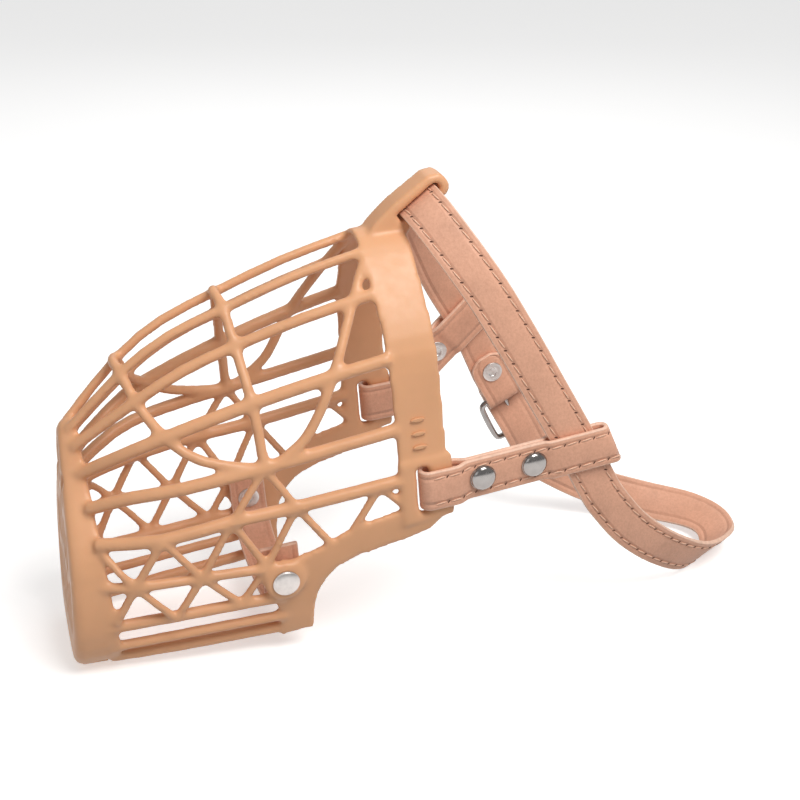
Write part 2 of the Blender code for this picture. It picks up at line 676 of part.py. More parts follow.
def rivet(name, seat, out, grip, flat=False):
    """Domed cap on the seat and a post with a washer head, through leather of a given grip."""
    out = out.normalized()
    turn = out.to_track_quat("Z", "Y").to_matrix().to_4x4()
    rise = CAP_RISE * (0.62 if flat else 1.0)
    base = seat + out * 0.12

    def build_cap(shape):
        profile = [(CAP_RADIUS, 0.0), (CAP_RADIUS + 0.1, 0.35), (CAP_RADIUS - 0.1, 0.75)]
        for k in range(1, 5):
            turn_up = math.radians(18 * k)
            profile.append(((CAP_RADIUS - 0.1) * math.cos(turn_up), 0.75 + (rise - 0.75) * math.sin(turn_up)))
        rings = []
        for radius, height in profile:
            rings.append([shape.verts.new((radius * math.cos(a), radius * math.sin(a), height))
                          for a in (math.tau * k / 24 for k in range(24))])
        for low, high in zip(rings, rings[1:]):
            for i in range(24):
                j = (i + 1) % 24
                shape.faces.new((low[i], low[j], high[j], high[i]))
        shape.faces.new(rings[0])
        top = shape.verts.new((0, 0, rise))
        for i in range(24):
            shape.faces.new((rings[-1][i], rings[-1][(i + 1) % 24], top))
        bmesh.ops.transform(shape, matrix=Matrix.Translation(base) @ turn, verts=shape.verts)

    cap = place(mesh_object(name + "_cap", build_cap), NICKEL)

    def build_post(shape):
        inner = -grip - 0.15
        profile = [(POST_RADIUS, -0.1), (POST_RADIUS, inner), (BACK_RADIUS, inner),
                   (BACK_RADIUS, inner - BACK_THICK + 0.3), (BACK_RADIUS - 0.5, inner - BACK_THICK)]
        rings = []
        for radius, height in profile:
            rings.append([shape.verts.new((radius * math.cos(a), radius * math.sin(a), height))
                          for a in (math.tau * k / 20 for k in range(20))])
        for low, high in zip(rings, rings[1:]):
            for i in range(20):
                j = (i + 1) % 20
                shape.faces.new((low[i], low[j], high[j], high[i]))
        shape.faces.new(rings[0])
        shape.faces.new(rings[-1])
        bmesh.ops.transform(shape, matrix=Matrix.Translation(seat) @ turn, verts=shape.verts)

    post = place(mesh_object(name + "_post", build_post), NICKEL)
    return cap, post


# ---------------------------------------------------------------- chin strap

CHIN_X = 28.9
CHIN_ROUTE = [(CHIN_X, 1.7, -35.5), (CHIN_X, 1.7, -41.0), (CHIN_X, 1.7, RIVET_Z), (CHIN_X, 1.7, -51.6),
              (27.2, 1.7, -56.0), (23.6, 1.7, -59.8), (18.0, 1.7, -62.6), (9.6, 1.7, -64.2), (0, 1.7, -64.8)]


def chin_strap():
    """Sling inside the cage, held by the two chin rivets."""
    half = smooth_path(CHIN_ROUTE, 3)
    path = half + [Vector((-p.x, p.y, p.z)) for p in reversed(half[:-1])]
    wide = Vector((0, CHIN_WIDTH / 2, 0))
    item = ribbon("chin_strap", [(p - wide, p + wide) for p in path], STRAP_THICK)
    holes = [cylinder("post_hole", POST_HOLE, 12.0, (side * CHIN_X, RIVET_Y, RIVET_Z), (1, 0, 0))
             for side in (LEFT, RIGHT)]
    return place(combined(item, holes, "DIFFERENCE"), LEATHER)


# ---------------------------------------------------------------- buckle

def buckle_frame():
    """Closed wire frame, with the heel bar in the strap's fold."""
    corner = 2.6

    def rise_at(s):
        return HEEL_SINK + (FRONT_RISE - HEEL_SINK) * s / FRAME_LENGTH
    route = [(0.0, 0.0), (0.0, FRAME_HALF - corner), (corner * 0.3, FRAME_HALF - corner * 0.3),
             (corner, FRAME_HALF), (FRAME_LENGTH - corner, FRAME_HALF),
             (FRAME_LENGTH - corner * 0.3, FRAME_HALF - corner * 0.3), (FRAME_LENGTH, FRAME_HALF - corner)]
    loop = route + [(s, -w) for s, w in reversed(route[1:])]
    origin = on_right(0.0)
    axes = right_matrix(FRAME_LENGTH / 2)
    wide, run, out = (axes.col[k].to_3d() for k in range(3))
    path = [origin + run * s + out * rise_at(s) + wide * w for s, w in loop]
    return place(tube("buckle_frame", path, BAR_RADIUS, 2, closed=True), NICKEL)


def buckle_prong():
    """Pin with an eye round the heel bar, through the billet's hole, resting on the front bar."""
    origin = on_right(0.0)
    axes = right_matrix(FRAME_LENGTH / 2)
    run, out = axes.col[1].to_3d(), axes.col[2].to_3d()
    eye_radius = BAR_RADIUS + GAP + PRONG_RADIUS
    path = []
    for k in range(2, 15):
        turn = math.tau * k / 16
        path.append((eye_radius * math.cos(turn), HEEL_SINK + eye_radius * math.sin(turn)))
    path.reverse()
    rest = FRONT_RISE + BAR_RADIUS + GAP + PRONG_RADIUS
    path += [(3.2, 0.95), (6.2, 1.0), (11.0, 2.7), (16.0, 4.4), (FRAME_LENGTH, rest), (FRAME_LENGTH + 2.2, rest)]
    route = [origin + run * s + out * r for s, r in path]
    return place(tube("buckle_prong", route, PRONG_RADIUS, 2), NICKEL)


# ---------------------------------------------------------------- assembly

basket_cage()
crown_strap()
strap_billet()
neck_strap()
side_tab(LEFT, "left_side_tab")
side_tab(RIGHT, "right_side_tab")
chin_strap()
for label, way in (("left", LEFT), ("right", RIGHT)):
    outward = Vector((way, 0, 0))
    for place_name, back in TAB_RIVETS[way].items():
        seat_point = on_tab(way, back, 0, 1.0 + TAB_THICK / 2)
        rivet(label + "_tab_rivet_" + place_name, seat_point, outward, 2 * (1.0 + TAB_THICK / 2))
    chin_seat = Vector((way * 36.35, RIVET_Y, RIVET_Z))
    rivet(label + "_chin_rivet", chin_seat, outward, 36.35 - CHIN_X + STRAP_THICK / 2, flat=True)
flap_out = right_matrix(FLAP_RIVET).col[2].to_3d()
rivet("buckle_rivet", on_right(FLAP_RIVET, STRAP_THICK / 2), flap_out, 2 * STRAP_THICK + GAP, flat=True)
buckle_frame()
buckle_prong()
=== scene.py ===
"""Finishes for a dog basket muzzle: moulded cage, stitched leather straps, nickel rivets and buckle."""
import math

import bmesh
import bpy
from bpy.props import FloatProperty, FloatVectorProperty, IntProperty, PointerProperty
from mathutils import Matrix, Vector


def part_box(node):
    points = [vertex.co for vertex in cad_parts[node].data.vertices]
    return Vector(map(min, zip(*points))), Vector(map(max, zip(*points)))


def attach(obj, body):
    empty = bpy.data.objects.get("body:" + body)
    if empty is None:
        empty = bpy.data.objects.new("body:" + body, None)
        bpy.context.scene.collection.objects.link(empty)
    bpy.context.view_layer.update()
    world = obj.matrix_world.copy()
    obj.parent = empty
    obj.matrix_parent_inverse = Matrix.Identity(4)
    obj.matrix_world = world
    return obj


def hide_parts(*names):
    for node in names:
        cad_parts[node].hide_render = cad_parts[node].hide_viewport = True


bl_info = {
    "name": "Basket muzzle",
    "version": (1, 0, 0),
    "blender": (4, 5, 0),
    "location": "3D View > Sidebar > Muzzle",
    "description": "Moulded cage, stitched straps, rivets and buckle of a dog basket muzzle",
    "category": "Object",
}

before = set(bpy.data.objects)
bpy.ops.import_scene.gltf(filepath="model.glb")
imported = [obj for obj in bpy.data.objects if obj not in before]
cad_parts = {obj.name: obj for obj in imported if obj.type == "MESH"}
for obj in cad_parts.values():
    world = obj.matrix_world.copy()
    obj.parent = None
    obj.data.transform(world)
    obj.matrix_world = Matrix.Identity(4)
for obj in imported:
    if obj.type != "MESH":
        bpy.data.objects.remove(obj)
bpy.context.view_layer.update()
MM = 0.001
LEFT, RIGHT = 1, -1

# The straps' routes are written in the basket's own frame, in millimetres. It stands pitched on its foot.
PITCH = math.radians(5.2)
FOOT = Vector((0.0, -69.0, -75.5))
STANCE = Matrix.Rotation(PITCH, 4, "X") @ Matrix.Scale(MM, 4) @ Matrix.Translation(-FOOT)

STRAP_HALF = 8.0
LEFT_SIDE = [(0, 70.6, 75.0), (4, 70.6, 74.95), (8.6, 71.0, 74.1), (14, 72.8, 70.9), (20, 76.4, 64.2),
             (26, 81.0, 55.6), (30.5, 86.7, 44.6), (34.5, 95.2, 26.4), (36.7, 103.0, 9.2),
             (37.7, 109.8, -5.4), (37.8, 115.2, -17.0), (37.8, 119.6, -27.6), (37.8, 122.4, -34.0),
             (37.8, 127.0, -43.2), (36.5, 138.4, -59.4), (32, 155, -75.6), (24, 173.0, -88.4),
             (12, 189.5, -92.1), (0, 194.0, -91.8), (-12, 189.0, -91.0), (-24, 173.6, -88.6),
             (-31.8, 156.8, -82.8), (-36.2, 143.0, -75.0)]
RIGHT_SIDE = [(0, 70.6, 75.0), (-4, 70.6, 74.95), (-8.6, 71.0, 74.1), (-14, 72.4, 70.9), (-20, 75.4, 63.9),
              (-26, 78.8, 55.4), (-31.0, 83.2, 44.6), (-36.0, 90.3, 27.6), (-38.0, 97.7, 12.8),
              (-37.9, 101.5, 5.0), (-37.9, 104.2, -2.0), (-37.9, 106.9, -9.6), (-37.9, 109.7, -17.4),
              (-37.9, 113.3, -26.0), (-37.9, 117.7, -36.4), (-37.9, 122.7, -47.8), (-37.9, 126.7, -56.6)]
HEEL_BAR = Vector((-36.6, 114.4, -28.6))     # axis of the buckle's heel bar
BUCKLE_RUN = Vector((0, 0.3977, -0.9175))    # down the strap at the buckle
BUCKLE_WIDE = Vector((0, 0.9175, 0.3977))    # across it
STRAP_X = -37.9

HINGE = Vector((37.8, 61.0, -20.0))
TAB_HALF = 7.8
TAB_TILT = {LEFT: math.radians(2.1), RIGHT: math.radians(40.0)}
TAB_LOOP = {LEFT: (65.6, 5.0), RIGHT: (59.5, 0.0)}
TAB_OPEN = {LEFT: 41.0, RIGHT: 36.5}           # behind it the two plies part round the strap


# The strap's bend round the heel bar, in millimetres: rises are outwards of the strap's middle line.
HEEL_SINK = -1.3           # the heel bar's axis
HEEL_BEND = 2.65           # radius of the bend's middle line
FLAP_RISE = -2.15

# Rivets, in metres.
CAP_RADIUS = 0.0048
CAP_RISE = 0.0026
LOW_CAP_RISE = 0.0016
HEAD_RADIUS = 0.0042
HEAD_THICK = 0.0009
ROLL_RADIUS = 0.0003       # rolled rim of a cap


class MuzzleSizes(bpy.types.PropertyGroup):
    """Sizes and colours that a maker would change."""
    strap_thickness: FloatProperty(name="Strap thickness", description="Leather of the long strap",
                                   default=0.0018, unit="LENGTH")
    tab_thickness: FloatProperty(name="Tab thickness", description="Leather of the side tabs",
                                 default=0.0017, unit="LENGTH")
    edge_round: FloatProperty(name="Edge rounding", description="Radius of the leather's dyed edges",
                              default=0.00055, unit="LENGTH")
    stitch_pitch: FloatProperty(name="Stitch pitch", description="From one painted hole shade to the next",
                                default=0.0058, unit="LENGTH")
    stitch_inset: FloatProperty(name="Stitch inset", description="From the leather's edge to the seam",
                                default=0.0026, unit="LENGTH")
    cage_detail: FloatProperty(name="Cage detail", description="Grain of the moulded surface's mesh",
                               default=0.00094, unit="LENGTH")
    cage_smoothing: IntProperty(name="Cage smoothing", description="Rounds of softening at the ribs' joints",
                                default=6)
    plastic_colour: FloatVectorProperty(name="Plastic", description="Colour of the moulded plastic",
                                        subtype="COLOR", size=3, default=(0.77, 0.402, 0.212))
    leather_colour: FloatVectorProperty(name="Leather", description="Colour of the leather's face",
                                        subtype="COLOR", size=3, default=(0.80, 0.43, 0.29))
    edge_colour: FloatVectorProperty(name="Leather edge", description="Colour of the sealed edge",
                                     subtype="COLOR", size=3, default=(0.86, 0.56, 0.42))
    thread_colour: FloatVectorProperty(name="Thread", description="Colour of the stitching",
                                       subtype="COLOR", size=3, default=(0.88, 0.56, 0.40))
    # Kept darker than plated nickel: painted reflection, so the polished caps and buckle read as if
    # mirroring a dark room. The pearl finish scales it back up.
    nickel_colour_with_painted_reflection: FloatVectorProperty(name="Nickel", description="Colour of the plated rivets",
                                       subtype="COLOR", size=3, default=(0.34, 0.32, 0.31))


class CameraSizes(bpy.types.PropertyGroup):
    """Where the camera stands and how it looks."""
    place: FloatVectorProperty(name="Place", description="Where the camera stands", subtype="TRANSLATION",
                               size=3, default=(0.44355, -0.02512, 0.30678))
    azimuth: FloatProperty(name="Azimuth", description="0 looks along +Y, 90 along -X", subtype="ANGLE",
                           default=math.radians(71.728))
    elevation: FloatProperty(name="Elevation", description="Above the horizon", subtype="ANGLE",
                             default=math.radians(25.51))
    roll: FloatProperty(name="Roll", description="Turn about the line of sight", subtype="ANGLE",
                        default=math.radians(1.174))
    lens: FloatProperty(name="Lens", description="Focal length in millimetres", default=61.76)


# ---------------------------------------------------------------- selection and modifiers

def select_only(item):
    bpy.ops.object.select_all(action="DESELECT")
    item.select_set(True)
    bpy.context.view_layer.objects.active = item


def apply_all(item):
    select_only(item)
    for modifier in list(item.modifiers):
        bpy.ops.object.modifier_apply(modifier=modifier.name)


def smooth(item, angle=40.0):
    select_only(item)
    bpy.ops.object.shade_smooth_by_angle(angle=math.radians(angle))


def finished(item, body, materials, nodes=()):
    """Give a piece its materials, its body and the CAD nodes that it stands for."""
    item.data.materials.clear()
    for material in materials:
        item.data.materials.append(material)
    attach(item, body)
    if nodes:
        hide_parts(*nodes)
    return item


def new_object(name, build):
    mesh = bpy.data.meshes.new(name)
    shape = bmesh.new()
    build(shape)
    shape.to_mesh(mesh)
    shape.free()
    item = bpy.data.objects.new(name, mesh)
    bpy.context.scene.collection.objects.link(item)
    return item


def copy_of(node, name):
    """Copy of a CAD node with its loose triangles merged."""
    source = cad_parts[node]
    item = bpy.data.objects.new(name, source.data.copy())
    bpy.context.scene.collection.objects.link(item)
    select_only(item)
    bpy.ops.object.mode_set(mode="EDIT")
    bpy.ops.mesh.select_all(action="SELECT")
    bpy.ops.mesh.remove_doubles(threshold=0.00001)
    bpy.ops.mesh.tris_convert_to_quads()
    bpy.ops.object.mode_set(mode="OBJECT")
    return item


# ---------------------------------------------------------------- materials

def node_tree(name):
    material = bpy.data.materials.new(name)
    material.use_nodes = True
    tree = material.node_tree
    return material, tree, tree.nodes["Principled BSDF"]


def add_node(tree, kind, **values):
    node = tree.nodes.new(kind)
    for key, value in values.items():
        if key in node.inputs:
            node.inputs[key].default_value = value
        else:
            setattr(node, key, value)
    return node


def noise(tree, scale, detail=3.0, roughness=0.55):
    where = add_node(tree, "ShaderNodeTexCoord")
    pattern = add_node(tree, "ShaderNodeTexNoise", Scale=scale, Detail=detail, Roughness=roughness)
    tree.links.new(where.outputs["Object"], pattern.inputs["Vector"])
    return pattern.outputs["Fac"]


def ramp(tree, factor, stops):
    node = tree.nodes.new("ShaderNodeValToRGB")
    elements = node.color_ramp.elements
    elements[0].position, elements[0].color = stops[0][0], (*stops[0][1], 1.0)
    elements[1].position, elements[1].color = stops[-1][0], (*stops[-1][1], 1.0)
    for position, colour in stops[1:-1]:
        elements.new(position).color = (*colour, 1.0)
    tree.links.new(factor, node.inputs["Fac"])
    return node.outputs["Color"]


def spread(tree, factor, low, high, low_out, high_out):
    node = add_node(tree, "ShaderNodeMapRange")
    for key, value in (("From Min", low), ("From Max", high), ("To Min", low_out), ("To Max", high_out)):
        node.inputs[key].default_value = value
    tree.links.new(factor, node.inputs["Value"])
    return node.outputs["Result"]


def bump(tree, height, distance, strength, under=None):
    node = add_node(tree, "ShaderNodeBump", Distance=distance, Strength=strength)
    tree.links.new(height, node.inputs["Height"])
    if under:
        tree.links.new(under, node.inputs["Normal"])
    return node.outputs["Normal"]


def scaled(colour, factor):
    return tuple(min(1.0, part * factor) for part in colour)


def moulded_plastic():
    """Warm, slightly translucent polypropylene with a satin mould finish."""
    sizes = bpy.context.scene.muzzle_sizes
    material, tree, shader = node_tree("moulded plastic")
    base = tuple(sizes.plastic_colour)
    cloud = noise(tree, 38.0, 4.0)
    colour = ramp(tree, cloud, [(0.3, scaled(base, 0.94)), (0.5, base), (0.72, scaled(base, 1.05))])
    tree.links.new(colour, shader.inputs["Base Color"])
    tree.links.new(spread(tree, noise(tree, 240.0, 3.0), 0.3, 0.7, 0.36, 0.48), shader.inputs["Roughness"])
    fine = bump(tree, noise(tree, 2600.0, 2.0), 0.00004, 0.35)
    wavy = bump(tree, noise(tree, 160.0, 2.0), 0.00012, 0.35, fine)
    tree.links.new(wavy, shader.inputs["Normal"])
    shader.inputs["Specular IOR Level"].default_value = 0.45
    shader.inputs["Subsurface Weight"].default_value = 0.08
    shader.inputs["Subsurface Radius"].default_value = (1.0, 0.42, 0.16)
    shader.inputs["Subsurface Scale"].default_value = 0.0022
    return material


def strap_leather():
    """Pebbled leather with fine creases, and a pressed line along each seam."""
    sizes = bpy.context.scene.muzzle_sizes
    material, tree, shader = node_tree("strap leather")
    base = tuple(sizes.leather_colour)
    cloud = noise(tree, 60.0, 5.0, 0.6)
    colour = ramp(tree, cloud, [(0.28, scaled(base, 0.86)), (0.5, base), (0.75, scaled(base, 1.09))])
    mottled = add_node(tree, "ShaderNodeMix", data_type="RGBA", blend_type="MULTIPLY")
    mottled.inputs["Factor"].default_value = 0.5
    tree.links.new(colour, mottled.inputs["A"])
    speckle = ramp(tree, noise(tree, 900.0, 4.0, 0.7), [(0.35, (0.80, 0.76, 0.74)), (0.6, (1.0, 1.0, 1.0))])
    tree.links.new(speckle, mottled.inputs["B"])
    tree.links.new(mottled.outputs["Result"], shader.inputs["Base Color"])
    tree.links.new(spread(tree, noise(tree, 420.0, 3.0), 0.3, 0.7, 0.5, 0.66), shader.inputs["Roughness"])
    where = add_node(tree, "ShaderNodeTexCoord")
    pebble = add_node(tree, "ShaderNodeTexVoronoi", Scale=1300.0, feature="SMOOTH_F1")
    tree.links.new(where.outputs["Object"], pebble.inputs["Vector"])
    grain = bump(tree, pebble.outputs["Distance"], 0.00009, 0.55)
    creased = bump(tree, noise(tree, 330.0, 5.0, 0.65), 0.00022, 0.5, grain)
    across = add_node(tree, "ShaderNodeSeparateXYZ")
    tree.links.new(where.outputs["UV"], across.inputs["Vector"])
    seam = add_node(tree, "ShaderNodeMath", operation="PINGPONG")
    seam.inputs[1].default_value = 0.5
    tree.links.new(across.outputs["Y"], seam.inputs[0])
    groove = ramp(tree, seam.outputs["Value"], [(0.10, (1, 1, 1)), (0.165, (0, 0, 0)), (0.24, (1, 1, 1))])
    pressed = bump(tree, groove, 0.0005, 0.75, creased)
    tree.links.new(pressed, shader.inputs["Normal"])
    shader.inputs["Specular IOR Level"].default_value = 0.4
    shader.inputs["Sheen Weight"].default_value = 0.08
    return material


def sealed_edge():
    """Paler, waxed edge of the leather."""
    sizes = bpy.context.scene.muzzle_sizes
    material, tree, shader = node_tree("sealed edge")
    base = tuple(sizes.edge_colour)
    colour = ramp(tree, noise(tree, 520.0, 4.0), [(0.3, scaled(base, 0.86)), (0.65, scaled(base, 1.05))])
    tree.links.new(colour, shader.inputs["Base Color"])
    tree.links.new(bump(tree, noise(tree, 1500.0, 3.0), 0.00008, 0.4), shader.inputs["Normal"])
    shader.inputs["Roughness"].default_value = 0.48
    return material


def seam_thread():
    sizes = bpy.context.scene.muzzle_sizes
    material, tree, shader = node_tree("seam thread")
    base = tuple(sizes.thread_colour)
    colour = ramp(tree, noise(tree, 1800.0, 3.0), [(0.3, scaled(base, 0.82)), (0.65, scaled(base, 1.06))])
    tree.links.new(colour, shader.inputs["Base Color"])
    tree.links.new(bump(tree, noise(tree, 3600.0, 2.0), 0.00008, 0.6), shader.inputs["Normal"])
    shader.inputs["Roughness"].default_value = 0.55
    return material


# Painted shade: a near-black colour that stands for the shade inside each hole the needle made.
def painted_hole_shade():
    material, tree, shader = node_tree("painted hole shade")
    colour = ramp(tree, noise(tree, 1400.0), [(0.3, (0.07, 0.026, 0.016)), (0.7, (0.16, 0.066, 0.044))])
    tree.links.new(colour, shader.inputs["Base Color"])
    shader.inputs["Roughness"].default_value = 0.9
    return material


def nickel(name, tint, low, high):
    """Plated metal with fine polishing marks."""
    material, tree, shader = node_tree(name)
    colour = ramp(tree, noise(tree, 300.0, 3.0), [(0.3, scaled(tint, 0.88)), (0.7, scaled(tint, 1.05))])
    tree.links.new(colour, shader.inputs["Base Color"])
    tree.links.new(spread(tree, noise(tree, 700.0, 4.0), 0.3, 0.7, low, high), shader.inputs["Roughness"])
    tree.links.new(bump(tree, noise(tree, 260.0, 2.0), 0.00004, 0.25), shader.inputs["Normal"])
    shader.inputs["Metallic"].default_value = 1.0
    return material


def shared_material(name, make):
    found = bpy.data.materials.get(name)
    return found if found else make()


def leather_pair():
    return [shared_material("strap leather", strap_leather), shared_material("sealed edge", sealed_edge)]


def polished_nickel():
    # Painted reflection: the dark tint stands for the dark room that the polished metal mirrors.
    tint = tuple(bpy.context.scene.muzzle_sizes.nickel_colour_with_painted_reflection)
    return shared_material("polished nickel", lambda: nickel("polished nickel", tint, 0.10, 0.20))


def pearl_nickel():
    # Scaled up 1.75 times to the plain colour of plated nickel, without the painted dark reflection.
    tint = scaled(tuple(bpy.context.scene.muzzle_sizes.nickel_colour_with_painted_reflection), 1.75)
    return shared_material("pearl nickel", lambda: nickel("pearl nickel", tint, 0.32, 0.45))


# ---------------------------------------------------------------- leather strips

def smooth_path(points, steps):
    """Catmull-Rom curve through the points."""
    knots = [Vector(p) for p in points]
    path = []
    for i in range(len(knots) - 1):
        b, c = knots[i], knots[i + 1]
        a = knots[i - 1] if i else b * 2 - c
        d = knots[i + 2] if i + 2 < len(knots) else c * 2 - b
        for k in range(steps):
            t = k / steps
            path.append(0.5 * (2 * b + (c - a) * t + (2 * a - 5 * b + 4 * c - d) * t ** 2
                               + (3 * b - a - 3 * c + d) * t ** 3))
    path.append(knots[-1])
    return path


def path_rows(path, half):
    """Edge points of a strap along its path, the front edge first."""
    rows = []
    for i, here in enumerate(path):
        run = (path[min(i + 1, len(path) - 1)] - path[max(i - 1, 0)]).normalized()
        lean = math.radians(27.0 + 7.0 * max(0.0, min(1.0, here.z / 76.0)))
        wide = Vector((0, math.cos(lean), math.sin(lean)))
        wide = (wide - run * wide.dot(run)).normalized()
        rows.append((here - wide * half, here + wide * half))
    return rows


def leather_strip(name, rows, thickness, closed=False):
    """Thick strip between two edge lines, with rounded, sealed edges and a map that runs along it."""
    def build(shape):
        uv = shape.loops.layers.uv.new("along")
        pairs = [(shape.verts.new(STANCE @ a), shape.verts.new(STANCE @ b)) for a, b in rows]
        if closed:
            pairs.append(pairs[0])
        reach = 0.0
        for (a, b), (c, d) in zip(pairs, pairs[1:]):
            step = ((c.co + d.co) / 2 - (a.co + b.co) / 2).length / (a.co - b.co).length
            face = shape.faces.new((a, b, d, c))
            corners = ((reach, 0), (reach, 1), (reach + step, 1), (reach + step, 0))
            for loop, place in zip(face.loops, corners):
                loop[uv].uv = place
            reach += step

    item = new_object(name, build)
    item.data.materials.append(None)
    item.data.materials.append(None)
    wall = item.modifiers.new("thickness", "SOLIDIFY")
    wall.thickness = thickness
    wall.offset = 0.0
    wall.use_even_offset = True
    wall.material_offset_rim = 1
    edge = item.modifiers.new("edges", "BEVEL")
    edge.width = bpy.context.scene.muzzle_sizes.edge_round
    edge.segments = 3
    edge.limit_method = "ANGLE"
    edge.angle_limit = math.radians(50.0)
    edge.material = 1
    apply_all(item)
    select_only(item)
    bpy.ops.object.mode_set(mode="EDIT")
    bpy.ops.mesh.select_all(action="SELECT")
    bpy.ops.mesh.normals_make_consistent(inside=False)
    bpy.ops.object.mode_set(mode="OBJECT")
    smooth(item, 60.0)
    return item


def finish_strip(item, body, nodes):
    """Keep the face and edge materials where the strip was built with them."""
    slots = [polygon.material_index for polygon in item.data.polygons]
    finished(item, body, leather_pair(), nodes)
    for polygon, index in zip(item.data.polygons, slots):
        polygon.material_index = index


def along_rows(rows, inset):
    """Seam line at a share of the width, with the run and the face's direction, in metres."""
    line = []
    for i, (a, b) in enumerate(rows):
        before, after = rows[max(i - 1, 0)], rows[min(i + 1, len(rows) - 1)]
        run = STANCE.to_3x3() @ ((after[0] + after[1]) - (before[0] + before[1]))
        low, high = STANCE @ a, STANCE @ b
        wide = (high - low).normalized()
        out = wide.cross(run).normalized()
        line.append((low.lerp(high, inset), run.normalized(), out))
    return line


def stitch_template(name, length, width, height):
    """One laid stitch: a short rounded bead, thinner where it enters the leather."""
    bpy.ops.object.select_all(action="DESELECT")
    bpy.ops.mesh.primitive_uv_sphere_add(segments=8, ring_count=6, radius=0.5,
                                         rotation=(0, math.pi / 2, 0))
    item = bpy.context.object
    item.name = name
    bpy.ops.object.transform_apply(location=False, rotation=True, scale=False)
    item.scale = (length, width, height)
    bpy.ops.object.transform_apply(location=False, rotation=False, scale=True)
    return item


def seam(name, body, lines, thickness, slant=1):
    """Rows of stitches along the given lines, on a strip's outer face, with dark beads between them: painted
    shade that stands for the shade inside the holes the needle made.
    """
    sizes = bpy.context.scene.muzzle_sizes
    pitch = sizes.stitch_pitch
    bead = stitch_template("stitch", pitch * 0.76, 0.00058, 0.0005)
    # The hole beads sit on the leather's face and carry the painted shade of the holes.
    hole = stitch_template("hole", 0.00135, 0.00048, 0.0003)
    for template, label, material, lift, turn in (
            (bead, "_stitching", shared_material("seam thread", seam_thread), 0.00012, 0.10),
            (hole, "_painted_hole_shade", shared_material("painted hole shade", painted_hole_shade), 0.00012, 0.85)):
        def build(shape, template=template, lift=lift, turn=turn):
            for line in lines:
                travelled, target = 0.0, pitch * (0.5 if template is bead else 1.0)
                for (p, run, out), (q, _, _) in zip(line, line[1:]):
                    step = (q - p).length
                    while step > 0 and target <= travelled + step:
                        where = p.lerp(q, (target - travelled) / step)
                        side = out.cross(run).normalized()
                        axes = Matrix((run, side, out)).transposed().to_4x4()
                        place = Matrix.Translation(where + out * (thickness / 2 + lift)) @ axes
                        place = place @ Matrix.Rotation(turn * slant, 4, "Z")
                        first = len(shape.verts)
                        shape.from_mesh(template.data)
                        shape.verts.ensure_lookup_table()
                        bmesh.ops.transform(shape, matrix=place, verts=shape.verts[first:])
                        target += pitch
                    travelled += step
        item = new_object(name + label, build)
        finished(item, body, [material])
        smooth(item, 180.0)
    for template in (bead, hole):
        bpy.data.objects.remove(template, do_unlink=True)


# ---------------------------------------------------------------- pieces

class MUZZLE_OT_cage(bpy.types.Operator):
    """Moulded cage: one skin over ribs, hoops, lattice, rim band and nose cap, with softened joints"""
    bl_idname = "muzzle.cage"
    bl_label = "Cage"

    def execute(self, context):
        sizes = context.scene.muzzle_sizes
        item = copy_of("basket_cage", "cage")
        skin = item.modifiers.new("skin", "REMESH")
        skin.mode = "VOXEL"
        skin.voxel_size = sizes.cage_detail
        soft = item.modifiers.new("soft", "SMOOTH")
        soft.factor = 0.5
        soft.iterations = sizes.cage_smoothing
        apply_all(item)
        select_only(item)
        bpy.ops.object.shade_smooth()
        finished(item, "muzzle", [shared_material("moulded plastic", moulded_plastic)],
                 ["basket_cage"])
        return {"FINISHED"}


class MUZZLE_OT_size_bars(bpy.types.Operator):
    """Three short raised bars on the left of the rim band, that tell the basket's size by their count"""
    bl_idname = "muzzle.size_bars"
    bl_label = "Size bars"

    def execute(self, context):
        bpy.ops.object.select_all(action="DESELECT")
        bpy.ops.mesh.primitive_cylinder_add(vertices=24, radius=0.5, depth=1.0)
        bar = context.object
        bar.name = "size_bar"
        bpy.ops.object.mode_set(mode="EDIT")
        bpy.ops.mesh.select_all(action="SELECT")
        bpy.ops.mesh.bevel(offset=0.2, segments=3)
        bpy.ops.object.mode_set(mode="OBJECT")
        rings = []
        for height, half_width in ((6.6, 36.9), (1.4, 37.3), (-3.8, 37.75)):
            turn = Matrix.Rotation(math.radians(90), 4, "Y")
            local = Matrix.Translation((half_width + 0.75, 54.6, height + 1.2)) @ turn
            rings.append(STANCE @ local @ Matrix.Diagonal((1.5, 5.0, 0.9, 1.0)))

        def build(shape):
            for place in rings:
                first = len(shape.verts)
                shape.from_mesh(bar.data)
                shape.verts.ensure_lookup_table()
                bmesh.ops.transform(shape, matrix=place, verts=shape.verts[first:])
        item = new_object("size_bars", build)
        bpy.data.objects.remove(bar, do_unlink=True)
        smooth(item, 50.0)
        finished(item, "muzzle", [shared_material("moulded plastic", moulded_plastic)])
        return {"FINISHED"}


def buckle_rows(stations):
    """Rows at the buckle, from distance beyond the heel bar, rise outwards and half width."""
    rows = []
    for beyond, rise, half in stations:
        here = Vector((STRAP_X - rise, HEEL_BAR.y, HEEL_BAR.z)) + BUCKLE_RUN * beyond
        rows.append((here - BUCKLE_WIDE * half, here + BUCKLE_WIDE * half))
    return rows


def flap_rows():
    """From the flap's rounded tip, down round the heel bar and up again on the outside."""
    tip = [(-20.0, 1.8), (-19.6, 3.4), (-18.8, 5.0), (-17.4, 6.8), (-15.8, 7.7), (-14.0, STRAP_HALF)]
    rows = [(beyond, FLAP_RISE, half) for beyond, half in tip]
    rows += [(-7.4, -2.2, STRAP_HALF), (-3.4, HEEL_SINK - HEEL_BEND + 0.1, STRAP_HALF)]
    for k in range(9):
        turn = math.pi * (1 - k / 8)
        rows.append((HEEL_BEND * math.sin(turn), HEEL_SINK + HEEL_BEND * math.cos(turn), STRAP_HALF))
    rows += [(-3.4, HEEL_SINK + HEEL_BEND - 0.1, STRAP_HALF), (-7.2, 0.0, STRAP_HALF),
             (-12.4, 0.0, STRAP_HALF)]
    return rows


